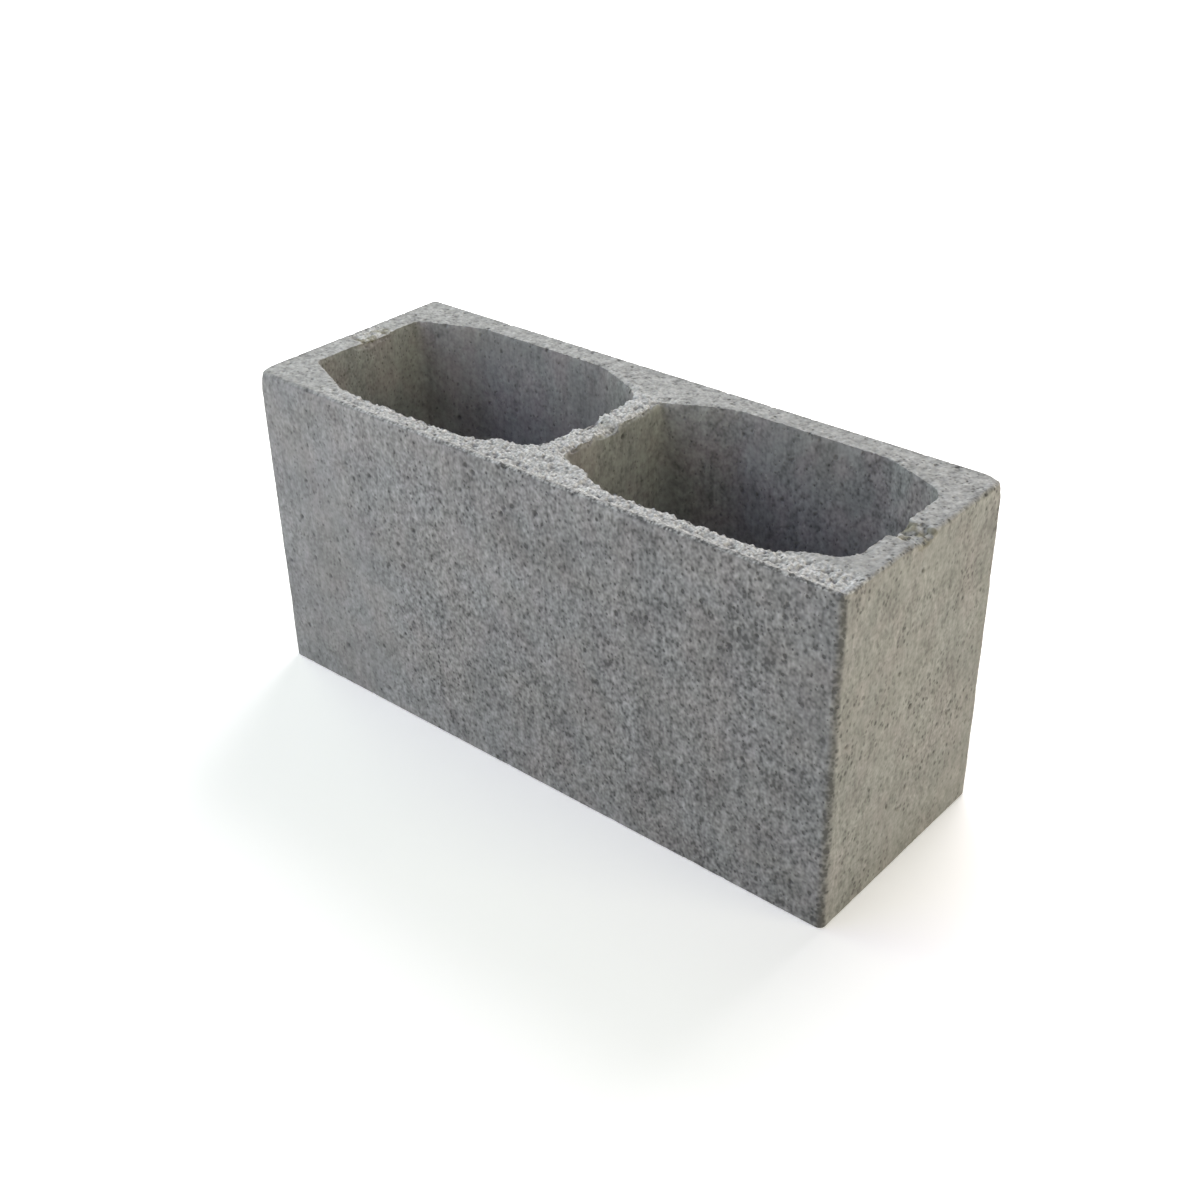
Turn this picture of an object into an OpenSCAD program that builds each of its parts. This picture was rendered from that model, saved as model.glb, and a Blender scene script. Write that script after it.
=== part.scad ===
// Two-cell hollow concrete block, cast in one piece, standing on its underside.
// X runs along the block, Y across it and Z up. The origin is the centre of the underside.
// Both cells run right through. They are widest at the top, so each wall thickens on the way down.

/* [Block] */
// Length of the block
block_length = 390; // [290:1:500]
// Width of the block, across both face shells
block_width = 140; // [115:1:240]
// Height of the block
block_height = 190; // [90:1:260]
// Radius of the four upright corners
corner_radius = 4.5; // [1:0.5:8]
// Radius of the edges around the top
top_edge_radius = 2; // [0.5:0.5:4]
// Radius of the edges around the underside
bottom_edge_radius = 1.5; // [0.5:0.5:4]

/* [Walls at the top] */
// Thickness of the two long face shells
shell_thickness = 15; // [12:0.5:25]
// Thickness of the web at each end
end_web_thickness = 16; // [12:0.5:35]
// Thickness of the web between the cells
middle_web_thickness = 16; // [12:0.5:40]
// How much each wall thickens from the top to the underside
core_draft = 2; // [0:0.25:4]

/* [Haunches in the corners of a cell] */
// Length of a haunch along the face shell
haunch_length = 40; // [20:1:45]
// Depth of a haunch along the web
haunch_depth = 16; // [6:1:22]
// Radius between haunch and web on the -X side of a cell
left_web_radius = 6; // [5:0.5:20]
// Radius between haunch and web on the +X side of a cell
right_web_radius = 16; // [5:0.5:20]
// Radius between haunch and face shell
shell_radius = 40; // [10:1:42]

/* [Core bar mark] */
// Width of the shallow trough that the core bar leaves across the webs
bar_mark_width = 16; // [6:1:40]
// Depth of the trough
bar_mark_depth = 1.5; // [0.5:0.25:4]
// Distance of the trough from the centre line, towards +Y
bar_mark_offset = -2.5; // [-20:0.5:20]

/* [Hidden] */
$fn = 64;

// A cut runs this far past the face that it opens
overcut = 5;

// One cell at the top
cell_length = (block_length - 2 * end_web_thickness - middle_web_thickness) / 2;
cell_width = block_width - 2 * shell_thickness;
cell_offset = (cell_length + middle_web_thickness) / 2;

haunch_angle = atan2(haunch_depth, haunch_length);
bar_mark_radius = (pow(bar_mark_width / 2, 2) + pow(bar_mark_depth, 2)) / (2 * bar_mark_depth);

// Radius at height z of a core corner that has the given radius at the top
function drafted(radius, z) = radius - core_draft * (1 - z / block_height);

// Centre of the round between haunch and web, in the +X +Y corner of a cell
function web_round_centre(radius) = [
    cell_length / 2 - radius,
    cell_width / 2 - haunch_depth - radius * tan(45 - haunch_angle / 2)
];

// Centre of the round between haunch and face shell, in the same corner
function shell_round_centre(radius) = [
    cell_length / 2 - haunch_length - radius * tan(haunch_angle / 2),
    cell_width / 2 - radius
];

// A flat rectangle, centred on X and standing on it, with one radius at its foot and one at its head
module rounded_outline(width, height, foot_radius, head_radius) {
    translate([-width / 2, foot_radius])
        square([width, height - foot_radius - head_radius]);
    translate([foot_radius - width / 2, 0])
        square([width - 2 * foot_radius, height / 2]);
    translate([head_radius - width / 2, height / 2])
        square([width - 2 * head_radius, height / 2]);
    for (side = [-1, 1]) {
        translate([side * (width / 2 - foot_radius), foot_radius])
            circle(foot_radius);
        translate([side * (width / 2 - head_radius), height - head_radius])
            circle(head_radius);
    }
}

// The block without its cells: what its plan, its front and its end have in common
module blank() {
    intersection() {
        translate([0, -block_width / 2, 0])
            linear_extrude(block_height)
                rounded_outline(block_length, block_width, corner_radius, corner_radius);
        rotate([90, 0, 0])
            linear_extrude(block_width, center = true)
                rounded_outline(block_length, block_height, bottom_edge_radius, top_edge_radius);
        rotate([90, 0, 90])
            linear_extrude(block_length, center = true)
                rounded_outline(block_width, block_height, bottom_edge_radius, top_edge_radius);
    }
}

// An upright cone that rounds one corner of a core, tangent to the walls beside it all the way down
module core_corner(centre, radius) {
    translate([centre[0], centre[1], -overcut])
        cylinder(
            h = block_height + 2 * overcut,
            r1 = drafted(radius, -overcut),
            r2 = drafted(radius, block_height + overcut)
        );
}

// The core that leaves one cell: long and narrow, with a haunch across each corner
module core() {
    hull()
        for (side = [0, 1])
            mirror([0, side, 0]) {
                core_corner(web_round_centre(right_web_radius), right_web_radius);
                core_corner(shell_round_centre(shell_radius), shell_radius);
                mirror([1, 0, 0]) {
                    core_corner(web_round_centre(left_web_radius), left_web_radius);
                    core_corner(shell_round_centre(shell_radius), shell_radius);
                }
            }
}

// The trough that the core bar leaves along the top
module bar_mark() {
    translate([0, bar_mark_offset, block_height - bar_mark_depth + bar_mark_radius])
        rotate([0, 90, 0])
            cylinder(r = bar_mark_radius, h = block_length + 2 * overcut, center = true);
}

module block() {
    color([0.62, 0.62, 0.60])
        difference() {
            blank();
            for (side = [-1, 1])
                translate([side * cell_offset, 0, 0])
                    core();
            bar_mark();
        }
}

block();
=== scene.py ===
import math

import bpy
import numpy as np
from mathutils import Matrix, Vector, kdtree, noise


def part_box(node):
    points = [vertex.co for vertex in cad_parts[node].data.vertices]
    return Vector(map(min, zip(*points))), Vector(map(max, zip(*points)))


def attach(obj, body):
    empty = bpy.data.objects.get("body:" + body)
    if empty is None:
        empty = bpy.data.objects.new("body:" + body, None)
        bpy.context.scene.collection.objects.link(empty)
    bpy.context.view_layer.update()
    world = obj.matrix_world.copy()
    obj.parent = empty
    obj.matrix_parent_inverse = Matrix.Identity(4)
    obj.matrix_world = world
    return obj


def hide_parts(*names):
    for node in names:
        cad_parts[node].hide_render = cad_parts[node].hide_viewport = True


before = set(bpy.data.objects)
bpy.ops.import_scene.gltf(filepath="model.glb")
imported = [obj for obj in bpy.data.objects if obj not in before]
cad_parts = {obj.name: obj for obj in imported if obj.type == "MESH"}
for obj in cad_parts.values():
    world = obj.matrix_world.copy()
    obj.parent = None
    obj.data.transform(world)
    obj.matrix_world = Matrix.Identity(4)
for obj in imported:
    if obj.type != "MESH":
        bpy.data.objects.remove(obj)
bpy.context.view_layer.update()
boxLow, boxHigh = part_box("block")
halfLength = (boxHigh.x - boxLow.x) / 2
halfWidth = (boxHigh.y - boxLow.y) / 2
topLevel = boxHigh.z
mm = 0.001


# The block is copied from its CAD node, meshed finely and worn by layers of relief.
# The layers only take away. The fill of the left web's bar mark adds, but only up to the level of the top.

blockSettings = {
    "gridSize": 1.0 * mm,
    "mostTriangles": 192000,
    "arrisAngle": math.radians(50),
    "arrisReach": 9 * mm,
    "deepest": 4.0 * mm,
    "weightSteps": 400,
    "arrisRounding": 12,
    "cornerRounding": 60,
    "topRound": 2 * mm,
    "topZone": 6 * mm,
    "sideMargin": 6 * mm,
    "markCentre": -2.5 * mm,
    "markDepth": 1.5 * mm,
    "fillHalfWidth": 9 * mm,
    "crumbCentre": 8 * mm,
    "crumbReach": 24 * mm,
    "webStart": 150 * mm,
    "wornCorners": [(1, 1, 1.0), (-1, -1, 0.8), (1, -1, 0.35)],  # which end, which face, how much
    # the distances over which each kind of surface comes or goes
    "spans": {
        "sunken": (0.5 * mm, 7 * mm),
        "firm": (1.5 * mm, 6 * mm),
        "frontShell": (45 * mm, 56 * mm),
        "frontAlong": (-170 * mm, -90 * mm),
        "middleWeb": (15 * mm, 30 * mm),
        "middleAcross": (-60 * mm, -20 * mm),
        "crumbs": (7 * mm, 15 * mm),
        "crumbsFromEnd": (4 * mm, 9 * mm),
        "mark": (6 * mm, 10 * mm),
        "leftWeb": (20 * mm, 26 * mm),
        "fill": (2 * mm, 8 * mm),
        "mouth": (0.5 * mm, 4.5 * mm),
        "topArris": (1.0 * mm, 4 * mm),
        "uprightArris": (1.5 * mm, 5 * mm),
        "footArris": (0.5 * mm, 3.5 * mm),
        "corner": (2 * mm, 12 * mm),
    },
}

# grains are round bumps with gaps between them, lumps are soft hollows, pits are small round holes
sunkLayers = {
    "tornGrains": {"skin": "torn", "shape": "grains", "size": 2.1 * mm, "depth": 1.5 * mm},
    "tornClods": {"skin": "torn", "shape": "grains", "size": 4.4 * mm, "depth": 1.1 * mm},
    "tornHoles": {"skin": "torn", "shape": "pits", "size": 3.2 * mm, "depth": 1.4 * mm, "share": 0.8},
    "tornHollows": {"skin": "torn", "shape": "lumps", "size": 6 * mm, "depth": 1.4 * mm, "share": 0.4},
    "topPits": {"skin": "top", "shape": "pits", "size": 4.5 * mm, "depth": 1.5 * mm, "share": 0.6},
    "topGrit": {"skin": "top", "shape": "grains", "size": 2.2 * mm, "depth": 0.5 * mm},
    "markGrains": {"skin": "barMark", "shape": "grains", "size": 5.5 * mm, "depth": 2.7 * mm},
    "markTears": {"skin": "barMark", "shape": "lumps", "size": 5 * mm, "depth": 1.6 * mm, "share": 0.4},
}
wornLayers = {
    "mouthGrains": {"skin": "mouthArris", "shape": "grains", "size": 4.2 * mm, "depth": 1.9 * mm},
    "mouthChips": {"skin": "mouthArris", "shape": "lumps", "size": 8 * mm, "depth": 1.4 * mm, "share": 0.5},
    "outerChips": {"skin": "outerArris", "shape": "lumps", "size": 4.5 * mm, "depth": 1.0 * mm, "share": 0.3},
    "cornerWear": {"skin": "corner", "shape": "grains", "size": 5 * mm, "depth": 0.8 * mm},
    "faceWaves": {"skin": "moulded", "shape": "lumps", "size": 24 * mm, "depth": 0.3 * mm, "share": 0.7},
    "facePits": {"skin": "pitted", "shape": "pits", "size": 8 * mm, "depth": 1.1 * mm, "share": 0.35},
}


def pickOnly(piece):
    bpy.ops.object.select_all(action="DESELECT")
    piece.select_set(True)
    bpy.context.view_layer.objects.active = piece


def applyModifier(piece, kind, **settings):
    modifier = piece.modifiers.new(kind.lower(), kind)
    for name, value in settings.items():
        setattr(modifier, name, value)
    pickOnly(piece)
    bpy.ops.object.modifier_apply(modifier=modifier.name)


def readVectors(source, name, count):
    values = np.zeros(count * 3, np.float32)
    source.foreach_get(name, values)
    return values.reshape(-1, 3).astype(float)


def ease(values, start, end):
    # 0 at start, 1 at end, smooth between them
    part = np.clip((values - start) / (end - start), 0, 1)
    return part * part * (3 - 2 * part)


def copyOfNode(nodeName, pieceName):
    pickOnly(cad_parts[nodeName])
    bpy.ops.object.duplicate()
    piece = bpy.context.object
    piece.name = pieceName
    piece.data.name = pieceName
    piece.parent = None
    bpy.ops.object.mode_set(mode="EDIT")
    bpy.ops.mesh.select_all(action="SELECT")
    bpy.ops.mesh.remove_doubles(threshold=1e-6)
    bpy.ops.object.mode_set(mode="OBJECT")
    return piece


def sharpEdgePoints(mesh, leastAngle, spacing):
    # points along each edge where two faces meet at more than the given angle
    normalsAt = {}
    for polygon in mesh.polygons:
        for key in polygon.edge_keys:
            normalsAt.setdefault(key, []).append(polygon.normal)
    points = []
    for (first, second), normals in normalsAt.items():
        if len(normals) == 2 and normals[0].angle(normals[1], 0) > leastAngle:
            start = mesh.vertices[first].co
            end = mesh.vertices[second].co
            steps = max(1, math.ceil((end - start).length / spacing))
            points += [start.lerp(end, step / steps) for step in range(steps + 1)]
    return points


def distanceTo(points, places):
    tree = kdtree.KDTree(len(points))
    for index, point in enumerate(points):
        tree.insert(point, index)
    tree.balance()
    return np.array([tree.find(place)[2] for place in places])


def findSkins(places, normals, mouthPoints):
    # how much each kind of surface each vertex belongs to, from 0 to 1
    x, y, z = places.T
    below = topLevel - z
    toEnd = halfLength - np.abs(x)
    toFace = halfWidth - np.abs(y)
    toSide = np.minimum(toEnd, toFace)
    spans = blockSettings["spans"]
    reach = blockSettings["arrisReach"]
    mouthDistance = np.full(len(places), reach)
    near = (below < reach) & (toSide > blockSettings["sideMargin"])
    mouthDistance[near] = distanceTo(mouthPoints, places[near])

    # the struck outer edges stay firm, the front shell and the middle web tear the most
    screeded = ease(normals[:, 2], 0.35, 0.8) * (below < 5 * mm)
    sunken = 1 - ease(below, *spans["sunken"])
    firm = 0.15 + 0.85 * ease(toSide, *spans["firm"])
    frontShell = ease(-y, *spans["frontShell"]) * ease(x, *spans["frontAlong"])
    middleWeb = (1 - ease(np.abs(x), *spans["middleWeb"])) * ease(-y, *spans["middleAcross"])
    crumbOffset = np.abs(y - blockSettings["crumbCentre"])
    crumbs = (x < 0) * (toEnd < blockSettings["crumbReach"]) * (1 - ease(crumbOffset, *spans["crumbs"]))
    roughness = 0.2 + 0.8 * np.maximum.reduce([frontShell, middleWeb, 0.7 * crumbs])

    # the bar mark stays on the middle and right webs; on the left one it is filled, with crumbs beside it
    markOffset = np.abs(y - blockSettings["markCentre"])
    inMark = 1 - ease(markOffset, *spans["mark"])
    webStart = blockSettings["webStart"]
    leftWeb = (x < -webStart) * (1 - ease(toEnd, *spans["leftWeb"]))
    barMark = inMark * sunken * np.where(x > webStart, 1, 0.35 + 0.65 * firm) * (1 - leftWeb)
    refill = leftWeb * (markOffset < blockSettings["fillHalfWidth"]) * (1 - ease(below, *spans["fill"]))
    topRound = blockSettings["topRound"]
    pastRound = np.clip(topRound - toEnd, 0, topRound)
    roundedOff = topRound - np.sqrt(np.clip(topRound ** 2 - pastRound ** 2, 0, 1))
    refill = refill * np.clip(below - roundedOff, 0, blockSettings["markDepth"]) / blockSettings["deepest"]

    mouthShare = 0.3 + 0.7 * np.maximum.reduce([frontShell, middleWeb, 0.8 * inMark, 0.5 * crumbs])
    mouthArris = (1 - ease(mouthDistance, *spans["mouth"])) * mouthShare
    topArris = 1 - ease(np.hypot(below, toSide), *spans["topArris"])
    uprightArris = 1 - ease(np.hypot(toEnd, toFace), *spans["uprightArris"])
    footArris = 1 - ease(np.hypot(z, toSide), *spans["footArris"])
    outerArris = np.maximum.reduce([topArris, 0.3 * uprightArris, 0.4 * footArris])

    # two top corners are knocked round, the others less
    corner = np.zeros(len(places))
    for side, face, share in blockSettings["wornCorners"]:
        spot = np.sqrt(below ** 2 + (halfLength - x * side) ** 2 + (halfWidth - y * face) ** 2)
        corner = np.maximum(corner, share * (1 - ease(spot, *spans["corner"])))
    moulded = 1 - ease(np.abs(normals[:, 2]), 0.3, 0.7)
    return {"screeded": screeded, "roughness": roughness, "top": sunken * firm,
            "torn": sunken * firm * roughness, "barMark": barMark, "refill": refill,
            "crumbs": 0.9 * crumbs * screeded * ease(toEnd, *spans["crumbsFromEnd"]),
            "mouthArris": mouthArris, "outerArris": outerArris, "corner": corner,
            "moulded": moulded, "pitted": moulded * (1 - outerArris)}


def grainDepth(place, share):
    return noise.voronoi(place)[0][0]


def lumpDepth(place, share):
    level = noise.fractal(place, 0.9, 2.0, 2) * 1.1 + (share - 0.5)
    return min(max(level, 0), 1)


def pitDepth(place, share):
    distances, centres = noise.voronoi(place)
    chance = noise.cell(centres[0] * 57)
    radius = 0.1 + 0.16 * max(0, chance - (1 - share)) / share
    return min(max((radius - distances[0]) / (radius * 0.5), 0), 1) if chance > 1 - share else 0


# each shape, and its usual level
reliefShapes = {"grains": (grainDepth, 0.52), "lumps": (lumpDepth, 0.3), "pits": (pitDepth, 0)}


def reliefDepth(layers, places, skins):
    # the depth taken away, and how much deeper than usual that is
    depth = np.zeros(len(places))
    gap = np.zeros(len(places))
    for number, layer in enumerate(layers.values()):
        weights = skins[layer["skin"]]
        shape, usual = reliefShapes[layer["shape"]]
        share = layer.get("share", 1)
        shift = Vector((number * 13.7, number * 7.3, number * 3.1))  # so that no two layers line up
        for index in np.flatnonzero(weights > 0.01):
            place = Vector(places[index]) / layer["size"] + shift
            level = shape(place, share)
            depth[index] += level * weights[index] * layer["depth"]
            gap[index] += (level - usual) * weights[index] * layer["depth"]
    return depth, gap


def refineTop(piece):
    # the top gets a mesh twice as fine, for its grains
    pickOnly(piece)
    bpy.ops.object.mode_set(mode="EDIT")
    bpy.ops.mesh.select_all(action="DESELECT")
    bpy.ops.object.mode_set(mode="OBJECT")
    mesh = piece.data
    centres = readVectors(mesh.polygons, "center", len(mesh.polygons))
    mesh.polygons.foreach_set("select", centres[:, 2] > topLevel - blockSettings["topZone"])
    bpy.ops.object.mode_set(mode="EDIT")
    bpy.ops.mesh.subdivide(number_cuts=1)
    bpy.ops.object.mode_set(mode="OBJECT")


def setGroup(piece, name, weights):
    group = piece.vertex_groups.new(name=name)
    most = blockSettings["weightSteps"]
    steps = np.round(weights * most).astype(int)
    for step in range(1, most + 1):
        group.add(np.flatnonzero(steps == step).tolist(), step / most, "REPLACE")


def readSkins(mesh):
    places = readVectors(mesh.vertices, "co", len(mesh.vertices))
    normals = readVectors(mesh.vertex_normals, "vector", len(mesh.vertices))
    return places, findSkins(places, normals, mouthPoints)


def wearBlock(piece):
    mesh = piece.data
    deepest = blockSettings["deepest"]
    places, skins = readSkins(mesh)
    setGroup(piece, "refill", skins["refill"])
    applyModifier(piece, "DISPLACE", vertex_group="refill", strength=deepest, mid_level=0, direction="Z")
    setGroup(piece, "cornerShare", skins["corner"])
    setGroup(piece, "mouthShare", skins["mouthArris"])
    applyModifier(piece, "SMOOTH", vertex_group="cornerShare", factor=0.5,
                  iterations=blockSettings["cornerRounding"])
    applyModifier(piece, "SMOOTH", vertex_group="mouthShare", factor=0.5,
                  iterations=blockSettings["arrisRounding"])
    refineTop(piece)
    places, skins = readSkins(mesh)
    worn, wornGap = reliefDepth(wornLayers, places, skins)
    sunk, sunkGap = reliefDepth(sunkLayers, places, skins)
    setGroup(piece, "wornDepth", np.minimum(worn / deepest, 1))
    setGroup(piece, "sunkDepth", np.minimum(sunk / deepest, 1))
    applyModifier(piece, "DISPLACE", vertex_group="wornDepth", strength=-deepest, mid_level=0)
    applyModifier(piece, "DISPLACE", vertex_group="sunkDepth", strength=-deepest, mid_level=0, direction="Z")
    piece.vertex_groups.clear()
    marks = {"screeded": skins["screeded"], "torn": skins["screeded"] * skins["roughness"],
             "mark": np.maximum(skins["barMark"], skins["crumbs"]), "gap": (wornGap + sunkGap) / mm}
    for name, values in marks.items():
        mark = mesh.attributes.new(name, "FLOAT", "POINT")
        mark.data.foreach_set("value", values.astype(np.float32))


block = copyOfNode("block", "concreteBlock")
mouthPoints = sharpEdgePoints(block.data, blockSettings["arrisAngle"], blockSettings["gridSize"])
applyModifier(block, "REMESH", mode="VOXEL", voxel_size=blockSettings["gridSize"])
print("block meshed:", len(block.data.polygons), "faces")
wearBlock(block)
print("relief added")
applyModifier(block, "DECIMATE", ratio=blockSettings["mostTriangles"] / (2 * len(block.data.polygons)),
              use_collapse_triangulate=True)
pickOnly(block)
bpy.ops.object.shade_smooth()
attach(block, "root")
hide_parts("block")
print("block finished:", len(block.data.polygons), "triangles")


# A signal is a shader socket that can stand in a sum.

class Signal:
    def __init__(self, finish, socket):
        self.finish = finish
        self.socket = socket

    def work(self, operation, first, second):
        return self.finish.add("ShaderNodeMath", {"operation": operation}, {0: first, 1: second})

    def __add__(self, other):
        return self.work("ADD", self, other)

    def __radd__(self, other):
        return self.work("ADD", other, self)

    def __sub__(self, other):
        return self.work("SUBTRACT", self, other)

    def __rsub__(self, other):
        return self.work("SUBTRACT", other, self)

    def __mul__(self, other):
        return self.work("MULTIPLY", self, other)

    def __rmul__(self, other):
        return self.work("MULTIPLY", other, self)


class Finish:
    def __init__(self, name):
        self.material = bpy.data.materials.new(name)
        self.material.use_nodes = True
        self.tree = self.material.node_tree
        self.shader = self.tree.nodes["Principled BSDF"]

    def add(self, kind, settings=None, inputs=None, output=0):
        node = self.tree.nodes.new(kind)
        for name, value in (settings or {}).items():
            setattr(node, name, value)
        for name, value in (inputs or {}).items():
            self.feed(node.inputs[name], value)
        return Signal(self, node.outputs[output])

    def feed(self, socket, value):
        if isinstance(value, Signal):
            self.tree.links.new(value.socket, socket)
        else:
            socket.default_value = value

    def stretched(self, place, scale):
        return self.add("ShaderNodeVectorMath", {"operation": "MULTIPLY"}, {0: place, 1: scale})

    def cloud(self, place, size, detail=2.0, roughness=0.5):
        # soft noise about 0, most of it within half a unit
        inputs = {"Vector": place, "Scale": 1 / size, "Detail": detail, "Roughness": roughness}
        return self.add("ShaderNodeTexNoise", None, inputs) - 0.5

    def step(self, value, start, end, low=0.0, high=1.0):
        # eases from low to high as the value goes from start to end
        inputs = {"Value": value, "From Min": start, "From Max": end, "To Min": low, "To Max": high}
        return self.add("ShaderNodeMapRange", {"interpolation_type": "SMOOTHSTEP"}, inputs)

    def outward(self, value, start, end, low=0.0, high=1.0):
        # the same on both sides of the middle
        return self.step(value * value, start ** 2, end ** 2, low, high)

    def mark(self, name):
        # one of the values that the relief left on the mesh
        return self.add("ShaderNodeAttribute", {"attribute_name": name}, None, "Fac")

    def cells(self, place, size):
        # the distance to the middle of the nearest cell
        return self.add("ShaderNodeTexVoronoi", None, {"Vector": place, "Scale": 1 / size})

    def pores(self, place, spacing, largest, share):
        # round holes, one at most in each cell, of any radius up to the largest
        distance = self.cells(place, spacing)
        colour = Signal(self, distance.socket.node.outputs["Color"])
        chance = self.add("ShaderNodeSeparateColor", None, {0: colour})
        radius = (chance - (1 - share)) * (largest / spacing / share)
        radius = self.add("ShaderNodeMath", {"operation": "MAXIMUM"}, {0: radius, 1: 0.001})
        return self.step(distance, radius, radius * 0.35)

    def mix(self, factor, first, second):
        # inputs 6 and 7 are the two colours, output 2 the mixed one
        return self.add("ShaderNodeMix", {"data_type": "RGBA"}, {0: factor, 6: first, 7: second}, 2)

    def tint(self, colour, factor):
        # colour times a number
        return self.add("ShaderNodeVectorMath", {"operation": "SCALE"}, {0: colour, "Scale": factor})


# lengths here are in millimetres
concreteSettings = {
    "warmTint": (0.304, 0.300, 0.295, 1),
    "coolTint": (0.295, 0.300, 0.304, 1),
    "pinkTint": (0.325, 0.292, 0.288, 1),
    "greenTint": (0.286, 0.307, 0.286, 1),
    # the warm tint painted on the ends stands for warm light falling on them
    "endWarmLightTint": (0.312, 0.300, 0.268, 1),
    "smoothTopColour": (0.365, 0.369, 0.367, 1),
    "tornTopColour": (0.456, 0.460, 0.458, 1),
    "stainColour": (0.215, 0.206, 0.160, 1),
    "plainTone": 1.06,
    "darkest": 0.28,
    "roughness": 0.94,
    "specular": 0.25,
    "bumpStrength": 0.7,
    "bumpDepth": 1.0,
    "longFaceFrom": 66,
    "longFaceTo": 69,
    "endFaceFrom": 190,
    "endFaceTo": 194,
    # how tall each pattern is drawn out: the smaller the last number, the taller
    "poreStretch": (1, 1, 0.85),
    "smearStretch": (1, 1, 0.4),
    "dragStretch": (1, 1, 0.07),
    "blushStretch": (1, 1, 0.7),
    "sizes": {"grit": 3.2, "sand": 1.5, "smears": 6.5, "drag": 1.8, "blots": 9, "grains": 1.5, "stain": 7,
              "blush": 18, "openPatches": 28, "warmth": 34, "openness": 42, "patches": 60},
    # spacing, largest radius, and the share of places that have one
    "pores": {"small": (2.7, 1.15, 0.9), "big": (5.2, 1.8, 0.65), "end": (2.5, 1.6, 0.75)},
    # how strongly each pattern shows
    "shares": {"openness": 0.7, "grit": 0.76, "sand": 0.72, "drag": 0.2, "smears": 0.55, "patches": 0.12,
               "blots": 0.10, "grains": 0.9, "small": 0.36, "big": 0.46, "end": 0.36, "endGrit": 0.06},
}


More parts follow.
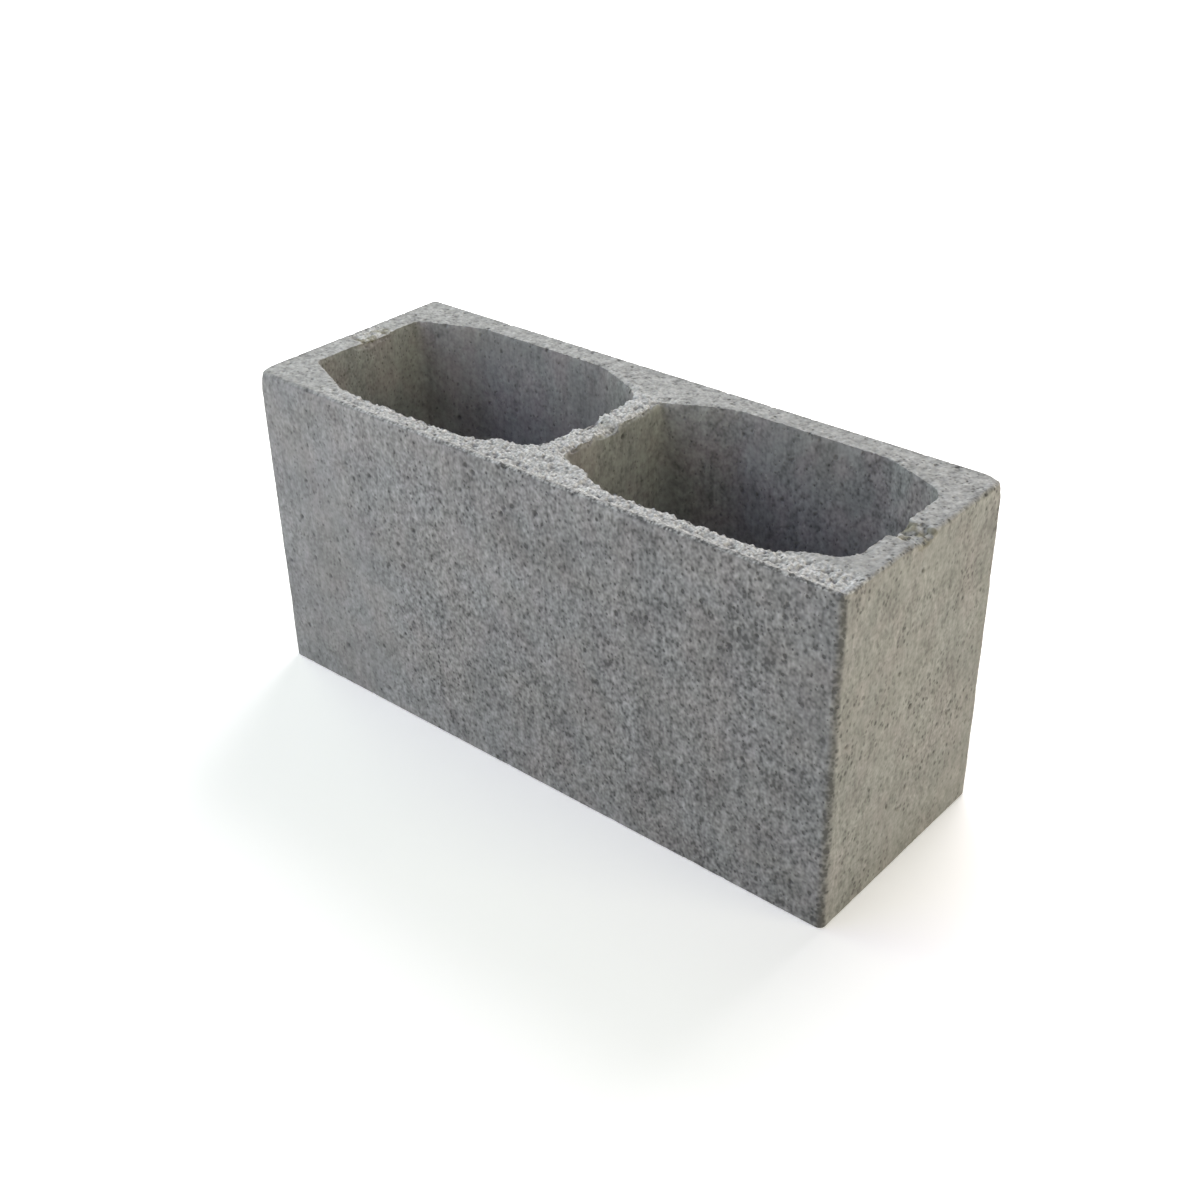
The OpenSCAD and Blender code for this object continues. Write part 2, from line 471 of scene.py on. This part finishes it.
def makeConcrete(settings):
    finish = Finish("blockConcrete")
    sizes = settings["sizes"]
    shares = settings["shares"]
    objectPlace = finish.add("ShaderNodeTexCoord", None, None, "Object")
    place = finish.stretched(objectPlace, (1 / mm, 1 / mm, 1 / mm))
    porePlace = finish.stretched(place, settings["poreStretch"])
    smearPlace = finish.stretched(place, settings["smearStretch"])
    dragPlace = finish.stretched(place, settings["dragStretch"])
    parts = finish.add("ShaderNodeSeparateXYZ", None, {0: place})
    along = Signal(finish, parts.socket.node.outputs["X"])
    across = Signal(finish, parts.socket.node.outputs["Y"])
    screeded = finish.mark("screeded")
    torn = finish.mark("torn")
    gap = finish.mark("gap")
    mark = finish.mark("mark")
    longFace = finish.outward(across, settings["longFaceFrom"], settings["longFaceTo"])
    endFace = finish.outward(along, settings["endFaceFrom"], settings["endFaceTo"])
    inside = (1 - longFace) * (1 - endFace) * (1 - screeded)
    topRight = screeded * finish.step(along, 50, 150)

    # the long faces open up towards the right, as the top does, and the ends are the tightest
    openness = 0.58 - endFace * 0.13 + longFace * finish.step(along, -170, -60, -0.08, 0.28)
    openness = openness + finish.cloud(place, sizes["openness"], 1.0) * shares["openness"]
    bigPores = finish.pores(porePlace, *settings["pores"]["big"])
    pores = finish.pores(porePlace, *settings["pores"]["small"])
    openPatches = finish.step(finish.cloud(place, sizes["openPatches"], 1.0), -0.08, 0.1, 0.35, 1.0)
    endPores = finish.pores(porePlace, *settings["pores"]["end"]) * openPatches
    grit = finish.cloud(porePlace, sizes["grit"], 0.0)
    sand = finish.cloud(porePlace, sizes["sand"], 0.0)
    smears = finish.cloud(smearPlace, sizes["smears"], 2.0, 0.6)
    drag = finish.cloud(dragPlace, sizes["drag"], 1.0, 0.5)
    patches = finish.cloud(place, sizes["patches"], 2.0, 0.55)
    blots = finish.cloud(smearPlace, sizes["blots"], 2.0, 0.6)
    grains = finish.cells(place, sizes["grains"]) - 0.45

    # warm and cool, pink and green, then the tops and the brown stain of the bar marks
    warmth = finish.cloud(place, sizes["warmth"], 2.0)
    blush = finish.cloud(finish.stretched(place, settings["blushStretch"]), sizes["blush"], 2.0) - 0.04
    body = finish.mix(finish.step(warmth, -0.16, 0.16), settings["coolTint"], settings["warmTint"])
    flush = finish.mix(finish.step(blush, -0.14, 0.14), settings["greenTint"], settings["pinkTint"])
    body = finish.mix(0.4 - longFace * 0.25, body, flush)
    # painted light: the ends are tinted warm, as the warm light that falls on them
    body = finish.mix(endFace * 0.5, body, settings["endWarmLightTint"])
    top = finish.mix(finish.step(torn, 0.2, 0.8), settings["smoothTopColour"], settings["tornTopColour"])
    body = finish.mix(finish.step(screeded, 0.1, 0.8), body, top)
    stain = finish.step(mark, 0.1, 0.5) * finish.step(finish.cloud(place, sizes["stain"], 2.0), -0.14, 0.08)
    stain = stain * finish.outward(along, 20, 150, 0.3, 0.9)
    body = finish.mix(stain, body, settings["stainColour"])

    # light and dark
    texture = (grit * shares["grit"] + sand * shares["sand"]) * openness
    texture = texture + drag * (shares["drag"] - endFace * 0.17)
    texture = texture + smears * (shares["smears"] - longFace * 0.15)
    texture = texture - finish.step(blots, 0.06, 0.2) * endFace * shares["blots"]
    texture = texture - grains * torn * shares["grains"]
    texture = texture - endPores * endFace * shares["end"] + grit * endFace * shares["endGrit"]
    texture = texture * (inside * finish.step(along, -20, 60) * 0.5 + screeded * (1 - torn) * 0.4 + 1)
    poreShare = openness * 0.8 + 0.15 + torn * 0.4 + topRight * 0.5
    texture = texture - (pores * shares["small"] + bigPores * shares["big"]) * poreShare
    # painted shade: the long faces are painted darker, more so towards the right, the ends are painted
    # darker, and the walls inside the cores darker towards the right
    paintedShade = longFace * finish.step(along, -190, 150, 0.30, 0.47) + endFace * 0.26
    paintedShade = paintedShade + inside * finish.step(along, -60, 60, 0.03, 0.09)
    tone = settings["plainTone"] - paintedShade + texture + patches * shares["patches"]
    tone = tone * finish.step(gap, -0.8, 1.4, 1.22, 0.45)  # painted light and shade: the grain tops are painted lighter and the gaps between the grains darker
    tone = finish.add("ShaderNodeMath", {"operation": "MAXIMUM"}, {0: tone, 1: settings["darkest"]})
    finish.feed(finish.shader.inputs["Base Color"], finish.tint(body, tone))
    finish.shader.inputs["Roughness"].default_value = settings["roughness"]
    finish.shader.inputs["Specular IOR Level"].default_value = settings["specular"]

    height = (grit * 0.5 + sand * 0.5) * openness - pores * 0.5 - bigPores * 0.8
    bump = {"Strength": settings["bumpStrength"], "Distance": settings["bumpDepth"] * mm, "Height": height}
    finish.feed(finish.shader.inputs["Normal"], finish.add("ShaderNodeBump", None, bump, "Normal"))
    return finish.material


block.data.materials.clear()
block.data.materials.append(makeConcrete(concreteSettings))
print("concrete made")


cameraSettings = {
    "place": (0.4906, -0.5664, 0.5377),
    "aim": (0.0020, -0.0068, 0.0845),
    "roll": math.radians(-1.2),
    "lens": 47.4,
    "sensor": 36.0,
}


def makeCamera(settings):
    bpy.ops.object.camera_add(location=settings["place"])
    camera = bpy.context.object
    camera.name = "camera"
    camera.data.lens = settings["lens"]
    camera.data.sensor_width = settings["sensor"]
    camera.data.clip_start = 0.01
    view = Vector(settings["aim"]) - Vector(settings["place"])
    turn = view.to_track_quat("-Z", "Y").to_matrix() @ Matrix.Rotation(settings["roll"], 3, "Z")
    camera.rotation_euler = turn.to_euler()
    bpy.context.scene.camera = camera


studioSettings = {
    "floorSize": 12,
    "floorColour": (0.90, 0.90, 0.90, 1),
    "floorRoughness": 0.9,
    "glow": 1.0,
    "nearGlow": 0.35,
    "glowStart": 0.12,
    "glowEnd": 0.95,
    "lampSize": 1.3,
    "lamps": {
        "behind": {"place": (-0.3, 1.3, 1.3), "energy": 30.6, "colour": (1.00, 0.95, 0.97)},
        "left": {"place": (-1.35, -0.1, 1.35), "energy": 13.5, "colour": (0.85, 1.00, 0.72)},
        "frontHigh": {"place": (-0.9, -1.0, 1.35), "energy": 7.2, "colour": (0.45, 0.42, 1.00)},
        "frontLow": {"place": (-1.1, -1.35, 0.5), "energy": 5.0, "colour": (0.92, 1.00, 0.90)},
        "front": {"place": (0.0, -1.8, 0.5), "energy": 13.5, "colour": (1.00, 1.00, 0.95)},
        "right": {"place": (1.85, 0.15, 0.5), "energy": 22.5, "colour": (1.00, 0.93, 0.72)},
    },
}


def makeStudio(settings):
    bpy.ops.mesh.primitive_plane_add(size=settings["floorSize"])
    floor = bpy.context.object
    floor.name = "floor"
    paper = Finish("palePaper")
    paper.shader.inputs["Base Color"].default_value = settings["floorColour"]
    paper.shader.inputs["Roughness"].default_value = settings["floorRoughness"]
    middle = paper.add("ShaderNodeTexCoord", None, None, "Object")
    distance = paper.add("ShaderNodeVectorMath", {"operation": "LENGTH"}, {0: middle}, "Value")
    glow = paper.step(distance, settings["glowStart"], settings["glowEnd"], settings["nearGlow"])
    paper.feed(paper.shader.inputs["Emission Color"], paper.tint((1, 1, 1), glow))
    paper.shader.inputs["Emission Strength"].default_value = settings["glow"]
    floor.data.materials.append(paper.material)
    scene = bpy.context.scene
    scene.view_settings.view_transform = "Standard"
    scene.world = bpy.data.worlds.new("studio")
    scene.world.use_nodes = True
    # the pale backdrop is seen but lights nothing
    sky = scene.world.node_tree.nodes["Background"]
    sky.inputs["Color"].default_value = settings["floorColour"]
    lightPath = scene.world.node_tree.nodes.new("ShaderNodeLightPath")
    scene.world.node_tree.links.new(lightPath.outputs["Is Camera Ray"], sky.inputs["Strength"])
    blockCentre = Vector((0, 0, topLevel / 2))
    for name, lamp in settings["lamps"].items():
        bpy.ops.object.light_add(type="AREA", location=lamp["place"])
        light = bpy.context.object
        light.name = name
        light.data.size = settings["lampSize"]
        light.data.energy = lamp["energy"]
        light.data.color = lamp["colour"]
        view = blockCentre - light.location
        light.rotation_euler = view.to_track_quat("-Z", "Y").to_euler()


makeCamera(cameraSettings)
makeStudio(studioSettings)
print("studio lit")
